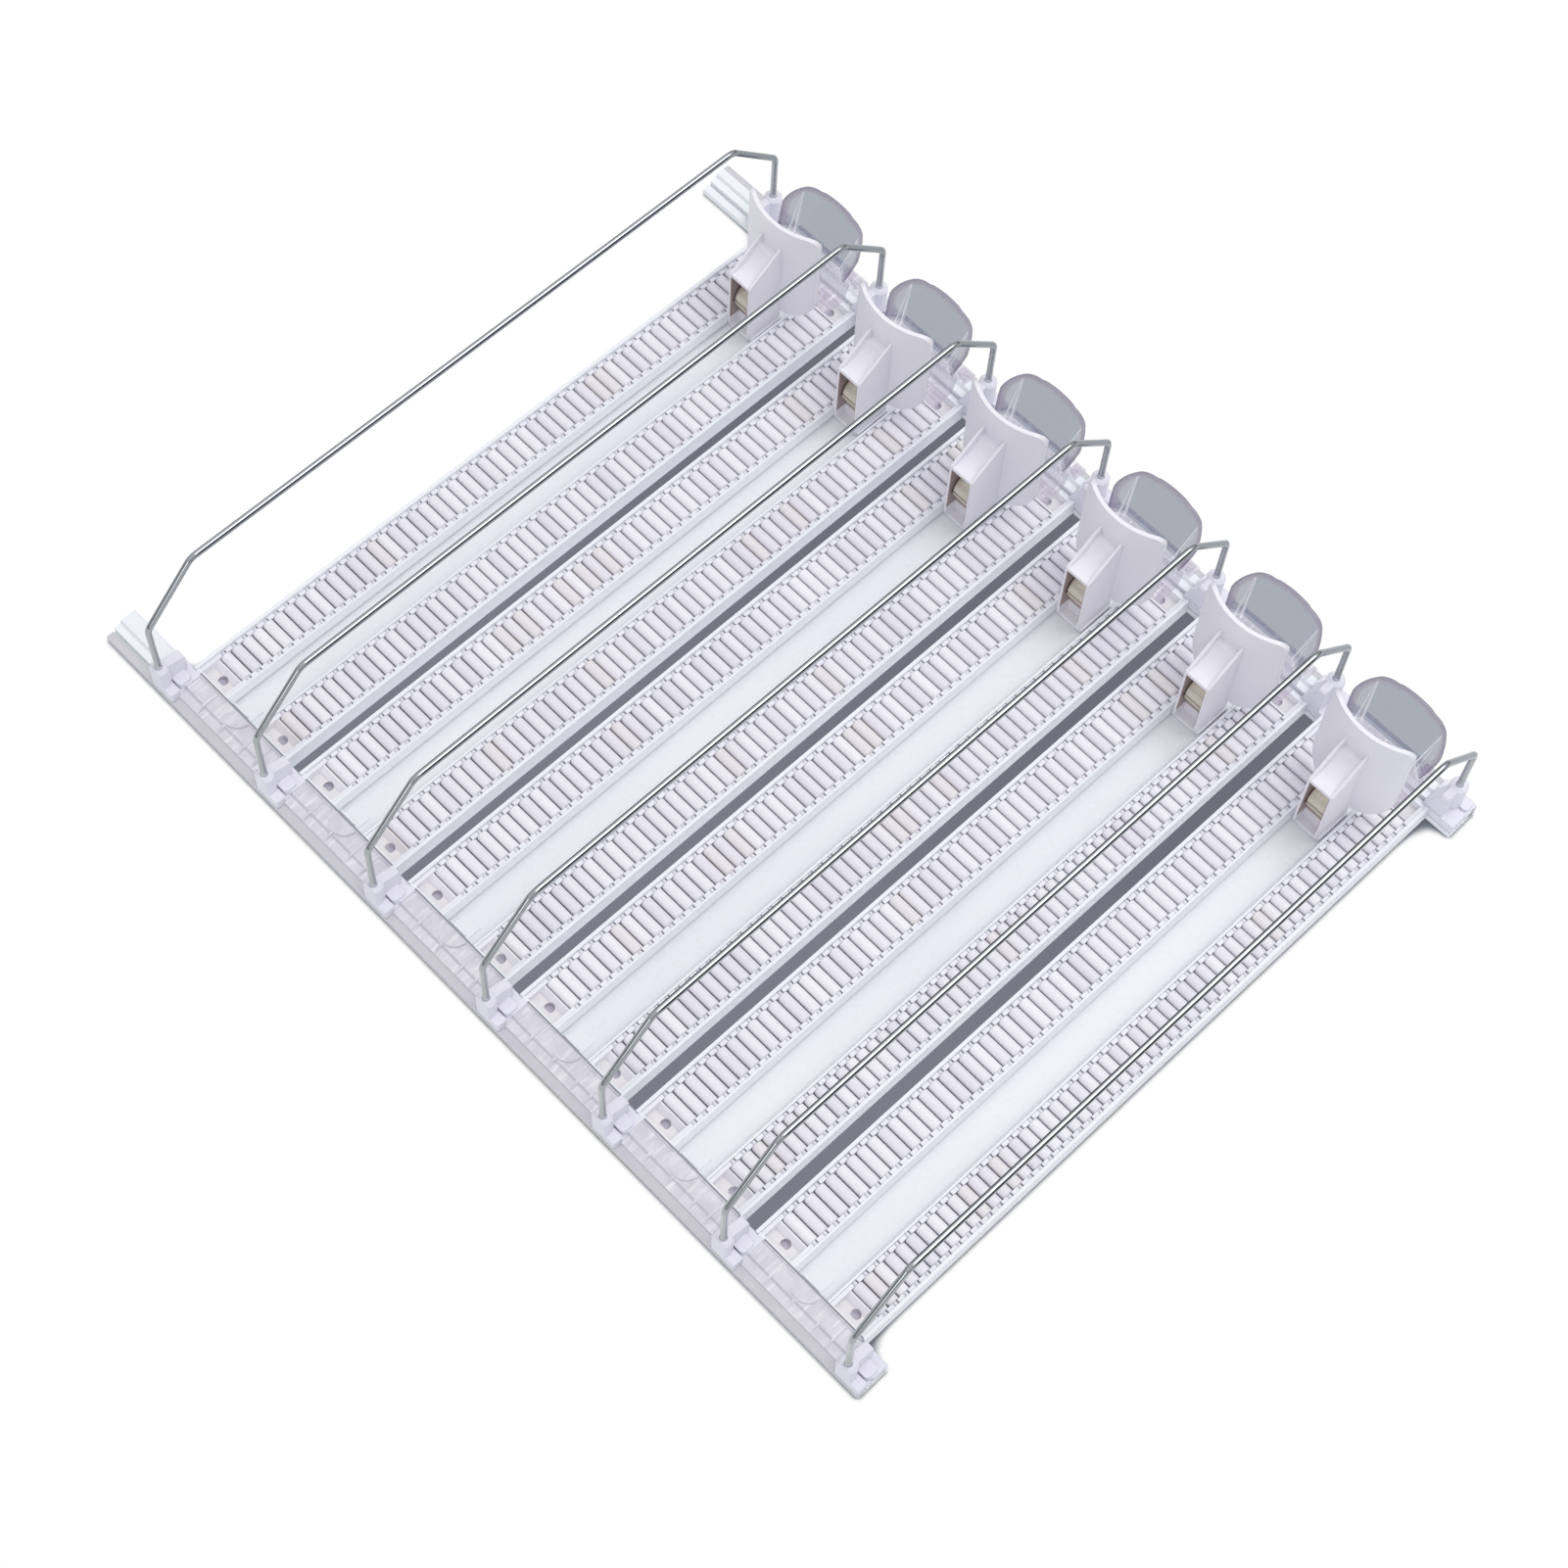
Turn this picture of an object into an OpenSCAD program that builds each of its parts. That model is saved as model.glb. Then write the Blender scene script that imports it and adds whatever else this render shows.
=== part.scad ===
// Fridge can organizer: six roller lanes side by side on two cross rails, with a
// wire divider at every lane edge, a spring pusher in every lane and a clear stop
// at the front of every lane.
// The front faces -Y, the lanes lie side by side along X, and the shelf is at z = 0.

/* [Row] */
// Gap between neighbouring trays, in which a wire divider stands
lane_gap = 8; // [6:0.5:22]
// Length of each lane tray, which is also the distance between the rails
tray_len = 341; // [260:1:420]
// How far the rails run past the outer divider on the +X side
overhang_long = 36.5; // [14:0.5:60]
// How far the rails run past the outer divider on the -X side
overhang_short = 9; // [9:0.5:40]

/* [Rails] */
// Width of a rail, front to back
rail_w = 16.5; // [16:0.5:24]
// Height of the rail's plateau above the shelf
rail_h = 7.5; // [7:0.25:9]
// Height of the rail's low flange
flange_h = 3.4; // [2.6:0.1:3.6]
// Height of the ridge between flange and plateau
ridge_h = 5.6; // [5:0.1:6]
// Wall thickness of the hollow rail
rail_wall = 1.4; // [1:0.1:1.6]

/* [Trays] */
// Outer width of a lane tray
tray_w = 62; // [60:0.5:64]
// Height of the tray's outer rims
tray_h = 9.5; // [9:0.25:12]
// Thickness of the tray's outer walls
tray_wall = 1.6; // [1.2:0.1:2.4]
// Thickness of the bed under the roller strips
bed_t = 2; // [1.2:0.1:2.4]
// Width of the open centre channel at its floor
channel_w = 16; // [15:0.5:18]
// Height of the channel floor above the shelf
channel_z = 3; // [2.6:0.1:3.4]
// Height of the guide slot along each side of the channel floor
slot_h = 1.4; // [1.2:0.1:1.8]
// Depth of the guide slot under the channel's lip
slot_d = 1.4; // [1:0.1:2]

/* [Rollers] */
// Diameter of a roller
roller_d = 5.3; // [4.6:0.1:5.5]
// Distance from one roller to the next
roller_pitch = 5.9; // [5.9:0.1:7]
// Diameter of a roller's axle stubs
axle_d = 2.2; // [1.8:0.1:2.6]
// Length of the bay without rollers at the rear end of a strip
rear_bay = 11.5; // [10:0.5:20]
// Shortest bay without rollers at the front end of a strip
front_bay = 12; // [10:0.5:24]

/* [Wire dividers] */
// Diameter of the divider wire
wire_d = 3; // [2.4:0.1:4]
// Height of the divider's long run, at the wire's middle
wire_top = 80; // [74:1:110]
// Length of the slanted stretch at each end, measured along Y
wire_slant = 27.4; // [14:0.2:34]
// Radius of the wire's bends at the wire's middle
bend_r = 6; // [4:0.5:8]
// Height at which a wire's rear leg enters its bracket
rear_socket_top = 21.4; // [20:0.1:24]
// Height at which a wire's front leg enters its bracket
front_socket_top = 25.2; // [22:0.1:28]

/* [Pushers] */
// Width of the pusher's plate
plate_w = 44; // [38:0.5:48]
// Height of the plate's top edge above the shelf
plate_top = 71; // [64:0.5:74]
// Thickness of the plate
plate_t = 2; // [1.4:0.1:2.6]
// Radius of the plate's hollow face, which takes a can
can_r = 34; // [30:0.5:40]
// Distance from the plate's middle to the front end of the tray, at rest
rest_gap = 25; // [25:0.5:60]
// Outer width of the spring housing behind the plate
housing_w = 13.5; // [12:0.5:15]
// Depth of the spring housing behind the plate
housing_d = 19; // [18.5:0.5:24]
// Height of the housing's rear edge above the shelf
hood_z = 45; // [40:0.1:48]
// Diameter of the wound spring strip
coil_d = 17; // [12:0.1:17]
// Height of the wound strip's axis above the shelf
coil_z = 24.5; // [20:0.5:27]

/* [Front stops] */
// Width of the clear stop panel
stop_w = 48; // [44:0.5:50]
// Height of the stop panel along its slope
stop_len = 29.5; // [26:0.5:31]
// Angle at which the stop panel leans forward
stop_lean = 23; // [18:1:28]
// Thickness of the clear parts' walls
clear_t = 1.5; // [1.2:0.1:2]

/* [Hidden] */
$fn = 48;
LANES = 6;

white_part = [0.95, 0.95, 0.97];
clear_part = [0.72, 0.76, 0.82];
steel_part = [0.80, 0.81, 0.82];
spring_part = [0.78, 0.74, 0.66];
// Overlap where two solids of one piece are merged
merge = 0.2;
// Running gap between a moving piece and its guide
run_gap = 0.3;

// Distance from one wire divider to the next
pitch = tray_w + lane_gap;
rail_len = LANES * pitch + overhang_long + overhang_short;
rear_flange_y = tray_len / 2 + rail_w;
front_flange_y = -tray_len / 2;
// The rear legs stand this far in from the flange edge of their rail
rear_leg_in = 2.4;
// The front legs stand this far in from the flange edge of their rail
front_leg_in = 9.7;
// The stops end as far in front of the trays as the rear rail ends behind them
end_reach = rail_w;
rear_leg_y = rear_flange_y - rear_leg_in;
front_leg_y = front_flange_y - front_leg_in;

function leg_x(i) = -rail_len / 2 + overhang_short + (i - 1) * pitch;
function lane_x(i) = leg_x(i) + pitch / 2;

// Carries children from rail coordinates, in which the polygon's x counts from the
// flange edge towards the plateau and its y is height, to a span from x0 to x1.
module along_rail(flange_y, x0, x1) {
    translate([x0, flange_y, 0])
        rotate([90, 0, 90])
            mirror([1, 0, 0])
                linear_extrude(x1 - x0)
                    children();
}

/* Rails */

// The top of the rail, as points from flange edge to plateau edge
groove_w = 1;
flange_w = 3.6;
ridge_end = 8;
rail_chamfer = 0.8;
plateau_in = ridge_end + rail_chamfer;

module rail_section() {
    difference() {
        polygon([
            [0, 0],
            [0, flange_h],
            [flange_w, flange_h],
            [flange_w, flange_h - groove_w],
            [flange_w + groove_w, flange_h - groove_w],
            [flange_w + groove_w, ridge_h],
            [ridge_end, ridge_h],
            [plateau_in, rail_h],
            [rail_w - rail_chamfer, rail_h],
            [rail_w, rail_h - rail_chamfer],
            [rail_w, 0]
        ]);
        translate([plateau_in + rail_wall / 2, rail_wall])
            square([rail_w - plateau_in - 1.5 * rail_wall, rail_h - 2 * rail_wall]);
        translate([flange_w + groove_w + rail_wall, rail_wall])
            square([ridge_end - flange_w - groove_w - rail_wall, ridge_h - 2 * rail_wall]);
    }
}

module rail(flange_y) {
    color(white_part)
        along_rail(flange_y, -rail_len / 2, rail_len / 2)
            rail_section();
}

/* Lane trays */

web_t = 1;
bed_in = channel_w / 2 + slot_d + web_t;
bed_out = tray_w / 2 - tray_wall;
slot_top = channel_z + slot_h;
lip_edge = 0.4;
lip_top = tray_h - 0.9;
hollow_w = 10;
hollow_roof = channel_z - 1.4;
end_wall = 1.5;
end_wall_top = tray_h - 1.3;

tray_half = [
    [hollow_w / 2, hollow_roof],
    [hollow_w / 2, 0],
    [tray_w / 2, 0],
    [tray_w / 2, tray_h],
    [bed_out, tray_h],
    [bed_out, bed_t],
    [bed_in, bed_t],
    [bed_in, lip_top],
    [bed_in - web_t, lip_top],
    [channel_w / 2, slot_top + lip_edge],
    [channel_w / 2, slot_top],
    [channel_w / 2 + slot_d, slot_top],
    [channel_w / 2 + slot_d, channel_z]
];

function mirrored(points) = [for (k = [len(points) - 1 : -1 : 0]) [-points[k][0], points[k][1]]];

module along_lane(y0, y1) {
    translate([0, y1, 0])
        rotate([90, 0, 0])
            linear_extrude(y1 - y0)
                children();
}

module tray() {
    color(white_part)
        union() {
            along_lane(-tray_len / 2, tray_len / 2)
                polygon(concat(tray_half, mirrored(tray_half)));
            for (side = [-1, 1], end = [-1, 1])
                bed_end_wall(side, end);
        }
}

module bed_end_wall(side, end) {
    wall_w = bed_out - bed_in + 2 * merge;
    translate([side * (bed_in + bed_out) / 2 - wall_w / 2, end * (tray_len - end_wall) / 2 - end_wall / 2,
               bed_t - merge])
        cube([wall_w, end_wall, end_wall_top - bed_t + merge]);
}

/* Roller strips */

comb_t = 1.8;
strip_gap = 0.1;
comb_in = bed_in + strip_gap;
comb_out = bed_out - strip_gap;
comb_top = tray_h - 1.5;
axle_z = tray_h - 0.6 - roller_d / 2;
notch_w = axle_d + 0.4;
notch_floor = axle_z - axle_d / 2 + merge;
strip_half = tray_len / 2 - end_wall;
first_roller = tray_len / 2 - rear_bay - roller_d / 2;
roller_count = floor((first_roller + tray_len / 2 - front_bay) / roller_pitch) + 1;
last_roller = first_roller - (roller_count - 1) * roller_pitch;
roller_in = comb_in + comb_t + strip_gap;
roller_out = comb_out - comb_t - strip_gap;
bay_floor = bed_t + 1.8;
bar_top = comb_top - 0.8;
ramp_len = 3.4;
tie_w = 4;
tie_t = axle_z - roller_d / 2 - bed_t - 0.3;
arch_r = 2.3;

function roller_y(k) = first_roller - k * roller_pitch;

// The side of a strip seen from the lane's edge, with one notch for every axle
comb_points = concat(
    [[-strip_half, bed_t], [strip_half, bed_t], [strip_half, comb_top]],
    [for (k = [0 : roller_count - 1], p = [0 : 3]) notch_point(roller_y(k), p)],
    [[-strip_half, comb_top]]
);

function notch_point(y, p) = [
    y + (p < 2 ? notch_w / 2 : -notch_w / 2),
    (p == 0 || p == 3) ? comb_top : notch_floor
];

module comb(x0) {
    translate([x0, 0, 0])
        rotate([90, 0, 90])
            linear_extrude(comb_t)
                polygon(comb_points);
}

module roller(y) {
    shoulder = (roller_d - axle_d) / 2;
    chamfer = 0.4;
    translate([0, y, axle_z])
        rotate([0, 90, 0])
            rotate_extrude()
                polygon([
                    [0, comb_in],
                    [axle_d / 2, comb_in],
                    [axle_d / 2, roller_in],
                    [axle_d / 2 + shoulder - chamfer, roller_in],
                    [roller_d / 2, roller_in + chamfer],
                    [roller_d / 2, roller_out - chamfer],
                    [axle_d / 2 + shoulder - chamfer, roller_out],
                    [axle_d / 2, roller_out],
                    [axle_d / 2, comb_out],
                    [0, comb_out]
                ]);
}

// A bay at the end of a strip: a floor with an arched hole, and a ramp up to the rollers
module strip_bay(end, roller) {
    bar_y = roller + end * (roller_d / 2 + 0.6);
    bay_len = strip_half - end * bar_y;
    hole_y = bar_y + end * bay_len * 0.5;
    span = comb_out - comb_in;
    difference() {
        union() {
            translate([comb_in + merge, end > 0 ? bar_y : -strip_half, bed_t])
                cube([span - 2 * merge, bay_len, bay_floor - bed_t]);
            translate([comb_in + merge, 0, 0])
                rotate([90, 0, 90])
                    linear_extrude(span - 2 * merge)
                        polygon([
                            [bar_y, bed_t],
                            [bar_y, bar_top],
                            [bar_y + end * 0.6, bar_top],
                            [bar_y + end * ramp_len, bay_floor - merge],
                            [bar_y + end * ramp_len, bed_t]
                        ]);
        }
        translate([(comb_in + comb_out) / 2, hole_y, bed_t - 1])
            arch_hole();
    }
}

module arch_hole() {
    intersection() {
        cylinder(r = arch_r, h = 4);
        translate([-arch_r, -arch_r, 0])
            cube([2 * arch_r, 1.7 * arch_r, 4]);
    }
}

module roller_strip() {
    tie_ys = [for (t = [-0.6 : 0.4 : 0.6]) t * strip_half];
    union() {
        comb(comb_in);
        comb(comb_out - comb_t);
        strip_bay(1, first_roller);
        strip_bay(-1, last_roller);
        for (y = tie_ys)
            translate([comb_in + merge, y - tie_w / 2, bed_t])
                cube([comb_out - comb_in - 2 * merge, tie_w, tie_t]);
        for (k = [0 : roller_count - 1])
            roller(roller_y(k));
    }
}

module roller_strips() {
    color(white_part)
        union() {
            roller_strip();
            mirror([1, 0, 0])
                roller_strip();
        }
}

/* Wire dividers */

leg_sink = 8.9;
slant_z = wire_top - wire_slant;

// One straight stretch of wire between two points in the divider's plane
module wire_stretch(a, b) {
    run = b - a;
    translate([0, a[0], a[1]])
        rotate([-atan2(run[0], run[1]), 0, 0])
            cylinder(d = wire_d, h = norm(run));
}

// The wire is pressed a little wider in its bends, so that each takes in the ends
// of its stretches
bend_swell = 0.08;
bend_lap = 2;

// A bend of 45 degrees between two stretches, around its own centre
module wire_bend(centre, from_angle) {
    translate([0, centre[0], centre[1]])
        rotate([0, 90, 0])
            rotate([0, 0, from_angle - bend_lap])
                rotate_extrude(angle = 45 + 2 * bend_lap)
                    translate([bend_r, 0])
                        circle(d = wire_d + bend_swell);
}

bend_back = bend_r * tan(22.5);
bend_diag = bend_back / sqrt(2);

// One end of a divider, from its foot to the long run, at the leg's place along Y
module wire_end(leg_y, socket_top, toward) {
    leg_foot = socket_top - leg_sink;
    leg_top = slant_z - bend_back;
    run_start = leg_y + toward * (wire_slant + bend_back);
    wire_stretch([leg_y, leg_foot], [leg_y, leg_top]);
    wire_stretch([leg_y + toward * bend_diag, slant_z + bend_diag],
                 [leg_y + toward * (wire_slant - bend_diag), wire_top - bend_diag]);
    wire_bend([leg_y + toward * bend_r, leg_top], toward > 0 ? 225 : 90);
    wire_bend([run_start, wire_top - bend_r], toward > 0 ? 180 : 135);
}

module wire_divider() {
    color(steel_part)
        union() {
            wire_end(front_leg_y, front_socket_top, 1);
            wire_end(rear_leg_y, rear_socket_top, -1);
            wire_stretch([front_leg_y + wire_slant + bend_back, wire_top],
                         [rear_leg_y - wire_slant - bend_back, wire_top]);
        }
}

/* Brackets */

// How far a bracket's wing runs along the rail from the wire's middle
wing_len = 8.8;
saddle_t = 1.2;
boss_d = 8.4;
boss_chamfer = 1.2;
spine_w = 4.6;
front_spine_w = 3.8;
// How far a spine's top stays below its socket, and how far it falls off from there
spine_drop = 0.6;
spine_fall = 2.4;
spine_round = 0.8;
// The front tower's spine starts this far in from the flange edge
front_spine_in = 0.3;
pad_low = flange_h + 5.8;
pad_high = rail_h + 3;
pad_inset = 0.8;
low_pad_r = 1;
high_pad_r = 2;
// The crease between a bracket's two pads, in from the flange edge
rear_crease_in = 5.3;
front_crease_in = 9.2;
crease_w = 0.5;
rear_pad_end = 12.6;
front_pad_end = 15.6;
buttress_w = 4;
socket_gap = 0.15;

// The skin that lies on the rail's top, from its flange edge to its plateau edge
module saddle_section(t) {
    polygon([
        [0, flange_h],
        [0, flange_h + t],
        [flange_w + groove_w - t, flange_h + t],
        [flange_w + groove_w - t, ridge_h + t],
        [ridge_end - t / 2, ridge_h + t],
        [plateau_in - t / 2, rail_h + t],
        [rail_w - 0.4, rail_h + t],
        [rail_w, rail_h + t - 0.4],
        [rail_w, rail_h],
        [plateau_in, rail_h],
        [ridge_end, ridge_h],
        [flange_w + groove_w, ridge_h],
        [flange_w + groove_w, flange_h]
    ]);
}

// Everything below the middle of that skin, which is cut off whatever stands on it
module below_saddle(flange_y) {
    half = saddle_t / 2;
    along_rail(flange_y, -pitch, pitch)
        polygon([
            [-1, -1],
            [-1, flange_h + half],
            [flange_w + groove_w - half, flange_h + half],
            [flange_w + groove_w - half, ridge_h + half],
            [ridge_end - half, ridge_h + half],
            [plateau_in - half, rail_h + half],
            [rail_w + 1, rail_h + half],
            [rail_w + 1, -1]
        ]);
}

// A pad seen from above, with its two corners at the wing's end rounded
module pad_plan(x0, x1, in0, in1, r) {
    translate([x0 + r, -in1])
        square([x1 - x0 - r, in1 - in0]);
    translate([x0, r - in1])
        square([2 * r, in1 - in0 - 2 * r]);
    for (y = [r - in1, -in0 - r])
        translate([x0 + r, y])
            circle(r);
}

// A saddle with two pads on it, and a crease between the pads
module bracket_wing(flange_y, x1, crease_in, pad_end) {
    along_rail(flange_y, -wing_len, x1)
        saddle_section(saddle_t);
    translate([0, flange_y, 0]) {
        linear_extrude(pad_low)
            pad_plan(-wing_len, x1, 0, crease_in, low_pad_r);
        linear_extrude(pad_high)
            pad_plan(pad_inset - wing_len, x1, crease_in + crease_w, pad_end, high_pad_r);
    }
}

module wire_boss(leg_y, socket_top) {
    rise = socket_top - pad_low + merge;
    translate([0, leg_y, pad_low - merge])
        rotate_extrude()
            polygon([
                [0, 0],
                [boss_d / 2, 0],
                [boss_d / 2, rise - boss_chamfer],
                [boss_d / 2 - boss_chamfer, rise],
                [0, rise]
            ]);
}

module wire_socket(leg_y, socket_top) {
    translate([0, leg_y, socket_top - leg_sink])
        cylinder(d = wire_d + 2 * socket_gap, h = 2 * leg_sink);
}

// The rear bracket's tower is flush with the rail's edge: a wall there falls off
// towards the wing, and a spine runs in to the plateau's far edge
module rear_bracket() {
    wall_t = 2;
    spine_end = rail_w - 2;
    color(white_part)
        difference() {
            union() {
                bracket_wing(rear_flange_y, boss_d / 2, rear_crease_in, rear_pad_end);
                wire_boss(rear_leg_y, rear_socket_top);
                along_lane(rear_flange_y - wall_t, rear_flange_y)
                    polygon([
                        [-boss_d / 2, pad_low - merge],
                        [-spine_w / 2, (pad_low + rear_socket_top) / 2],
                        [boss_d / 2, rear_socket_top - boss_chamfer],
                        [boss_d / 2, pad_low - merge]
                    ]);
                along_rail(rear_flange_y, -spine_w / 2, spine_w / 2)
                    polygon([
                        [rear_leg_in, pad_low - merge],
                        [rear_leg_in, rear_socket_top - spine_drop],
                        [rear_leg_in + boss_d / 2, rear_socket_top - spine_drop],
                        [spine_end, rear_socket_top - spine_drop - spine_fall],
                        [spine_end, rail_h]
                    ]);
            }
            below_saddle(rear_flange_y);
            wire_socket(rear_leg_y, rear_socket_top);
            translate([-wing_len, rear_flange_y, 0])
                cube([2 * wing_len, boss_d, rear_socket_top + 1]);
        }
}

// The front bracket's tower stands on the plateau, with a spine back over the flange
module front_bracket() {
    buttress_top = front_socket_top - 2;
    buttress_end = boss_d / 2 + buttress_w;
    color(white_part)
        difference() {
            union() {
                bracket_wing(front_flange_y, buttress_end, front_crease_in, front_pad_end);
                wire_boss(front_leg_y, front_socket_top);
                along_rail(front_flange_y, -front_spine_w / 2, front_spine_w / 2)
                    polygon([
                        [front_spine_in, flange_h],
                        [front_spine_in, front_socket_top - spine_drop - spine_round],
                        [front_spine_in + spine_round, front_socket_top - spine_drop],
                        [front_leg_in, front_socket_top - spine_drop],
                        [front_leg_in, flange_h]
                    ]);
                along_lane(front_flange_y - front_leg_in, front_flange_y - front_spine_in)
                    polygon([
                        [0, pad_low - merge],
                        [0, buttress_top],
                        [front_spine_w / 2, buttress_top],
                        [buttress_end - spine_round, pad_high + spine_round],
                        [buttress_end, pad_low - merge]
                    ]);
            }
            below_saddle(front_flange_y);
            wire_socket(front_leg_y, front_socket_top);
        }
}

/* Pushers */

plate_back_y = -tray_len / 2 + rest_gap + plate_t;
can_axis_y = plate_back_y - plate_t - can_r;
plate_foot = tray_h + 2.2;
plate_low_r = 13;
plate_top_r = 5;
housing_wall = 1.4;
rib_rise = 12.6;
hood_t = 2;
hood_r = 14;
hood_lip = 3;
hood_sag = 0.3;
housing_y = plate_back_y + housing_d;
guide_in = slot_d - run_gap;
guide_t = slot_h - 2 * run_gap;
foot_w = channel_w - 2 * run_gap;
foot_top = slot_top + 1.6;
coil_y = plate_back_y + run_gap + coil_d / 2;
coil_w = housing_w - 2 * housing_wall - 2 * run_gap;
strip_t = 0.4;

module round_corner_plate() {
    low = plate_foot;
    half = plate_w / 2;
    translate([-half + plate_low_r, low])
        square([plate_w - 2 * plate_low_r, plate_top - low]);
    translate([-half, low + plate_low_r])
        square([plate_w, plate_top - plate_top_r - low - plate_low_r]);
    translate([-half + plate_top_r, plate_top - 2 * plate_top_r])
        square([plate_w - 2 * plate_top_r, 2 * plate_top_r]);
    for (side = [-1, 1]) {
        translate([side * (half - plate_low_r), low + plate_low_r])
            circle(plate_low_r);
        translate([side * (half - plate_top_r), plate_top - plate_top_r])
            circle(plate_top_r);
    }
}

// The plate is a slice of a tube that fits round a can, cut to its rounded outline
module pusher_plate() {
    intersection() {
        translate([0, can_axis_y, 0])
            difference() {
                cylinder(r = can_r + plate_t, h = plate_top, $fn = 96);
                translate([0, 0, -1])
                    cylinder(r = can_r, h = plate_top + 2, $fn = 96);
            }
        along_lane(can_axis_y, plate_back_y + 1)
            round_corner_plate();
    }
}

module side_wall(x0) {
    translate([x0, 0, 0])
        rotate([90, 0, 90])
            linear_extrude(housing_wall)
                polygon([
                    [plate_back_y - plate_t / 2 - merge, slot_top + run_gap],
                    [housing_y - 1.5, slot_top + run_gap],
                    [housing_y, slot_top + 4],
                    [housing_y, hood_z],
                    [plate_back_y + 0.6, hood_z + rib_rise],
                    [plate_back_y - plate_t / 2 - merge, hood_z + rib_rise]
                ]);
}

// The hood over the spring is a scoop that runs up into the plate's back
module hood() {
    translate([-housing_w / 2 + merge, 0, 0])
        rotate([90, 0, 90])
            linear_extrude(housing_w - 2 * merge)
                difference() {
                    translate([plate_back_y - plate_t / 2, hood_z - hood_t])
                        square([housing_d + plate_t / 2, hood_r * 0.7]);
                    translate([housing_y - hood_lip, hood_z - hood_sag + hood_r])
                        circle(hood_r);
                    translate([housing_y - hood_lip, hood_z])
                        square([2 * hood_lip, hood_r]);
                }
}

// A cradle under the wound strip holds it off the foot
module cradle() {
    block_d = housing_d * 0.75;
    difference() {
        translate([-housing_w / 2 + merge, plate_back_y - plate_t / 2, foot_top - merge])
            cube([housing_w - 2 * merge, block_d, coil_z - foot_top]);
        translate([-housing_w, coil_y, coil_z])
            rotate([0, 90, 0])
                cylinder(d = coil_d + 2 * run_gap, h = 2 * housing_w);
    }
}

module foot() {
    foot_y = plate_back_y - plate_t / 2;
    foot_len = housing_y - 1.5 - foot_y;
    translate([-channel_w / 2 - guide_in, foot_y, channel_z + run_gap])
        cube([channel_w + 2 * guide_in, foot_len, guide_t]);
    translate([-foot_w / 2, foot_y, channel_z + run_gap])
        cube([foot_w, foot_len, foot_top - channel_z - run_gap]);
}

module pusher() {
    color(white_part)
        union() {
            pusher_plate();
            side_wall(-housing_w / 2);
            side_wall(housing_w / 2 - housing_wall);
            hood();
            cradle();
            foot();
        }
}

/* Springs */

coil_bore = 5;
turn_step = 0.25;

// The wound strip, with the edge of every second turn standing back on its two faces
module spring() {
    turns = floor((coil_d - coil_bore) / 4 / strip_t);
    half = coil_w / 2;
    face = [
        for (k = [0 : turns - 1], p = [[0, 0], [1, 0], [1, turn_step], [2, turn_step]])
            [coil_bore / 2 + (2 * k + p[0]) * strip_t, half - p[1]]
    ];
    rim = [[coil_d / 2, half - turn_step], [coil_d / 2, turn_step - half]];
    back = [for (k = [len(face) - 1 : -1 : 0]) [face[k][0], -face[k][1]]];
    color(spring_part)
        translate([0, coil_y, coil_z])
            rotate([0, 90, 0])
                rotate_extrude($fn = 64)
                    polygon(concat(face, rim, back));
}

/* Front stops */

stop_root_in = end_reach - stop_len * sin(stop_lean) - clear_t * cos(stop_lean);
stop_root_z = 21.5;
stop_corner_r = 15;
stop_crown_r = 45;
stop_flat = 29;
return_back = 5;
base_w = 2 * 22.4;
base_in = 11;
base_t = 1.4;
// The base turns up this far from the tray's end, and is this deep where it meets the panel
base_turn = 0.6;
base_root = 1.6;
step_pitch = 2.4;
step_t = 0.8;

module stop_outline() {
    half = stop_w / 2;
    corner_z = stop_len - 1.5 - stop_corner_r;
    corner_x = half - stop_corner_r;
    translate([-half, -3])
        square([stop_w, corner_z + 3]);
    for (side = [-1, 1])
        translate([side * corner_x, corner_z])
            circle(stop_corner_r, $fn = 64);
    intersection() {
        translate([0, stop_len - stop_crown_r])
            circle(stop_crown_r, $fn = 96);
        translate([-corner_x - 2, 0])
            square([2 * corner_x + 4, stop_len + 1]);
    }
}

// The panel is flat in the middle, with a return on each side that folds back
module stop_panel() {
    half = stop_w / 2;
    bend = stop_flat / 2;
    translate([0, front_flange_y - stop_root_in, stop_root_z])
        rotate([stop_lean, 0, 0])
            intersection() {
                translate([0, 0, -2])
                    linear_extrude(stop_len + 3)
                        polygon([
                            [-half, return_back],
                            [-bend, 0],
                            [bend, 0],
                            [half, return_back],
                            [half, return_back - clear_t],
                            [bend + 0.6, -clear_t],
                            [-bend - 0.6, -clear_t],
                            [-half, return_back - clear_t]
                        ]);
                translate([0, return_back + 1, 0])
                    rotate([90, 0, 0])
                        linear_extrude(return_back + clear_t + 2)
                            stop_outline();
            }
}

// The base lies on the tray's end, climbs to the panel and stands on the plateau
module stop_base() {
    along_rail(front_flange_y, -base_w / 2, base_w / 2)
        polygon([
            [-base_in, tray_h],
            [-base_in, tray_h + base_t],
            [-2 * base_turn, tray_h + base_t],
            [stop_root_in - 1, stop_root_z + 1],
            [stop_root_in + base_root, stop_root_z + 1],
            [stop_root_in + base_root, stop_root_z - base_t],
            [plateau_in + base_t, rail_h + base_t],
            [rail_w, rail_h + base_t],
            [rail_w, rail_h],
            [plateau_in, rail_h],
            [stop_root_in - merge, stop_root_z - 1 - base_root],
            [base_turn, tray_h]
        ]);
}

module stop_rib(x) {
    translate([x - clear_t / 4, 0, 0])
        along_rail(front_flange_y, 0, clear_t / 2)
            polygon([
                [stop_root_in + 1, stop_root_z],
                [rail_w - 2, rail_h + base_t / 2],
                [plateau_in + base_t / 2, rail_h + base_t / 2]
            ]);
}

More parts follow.
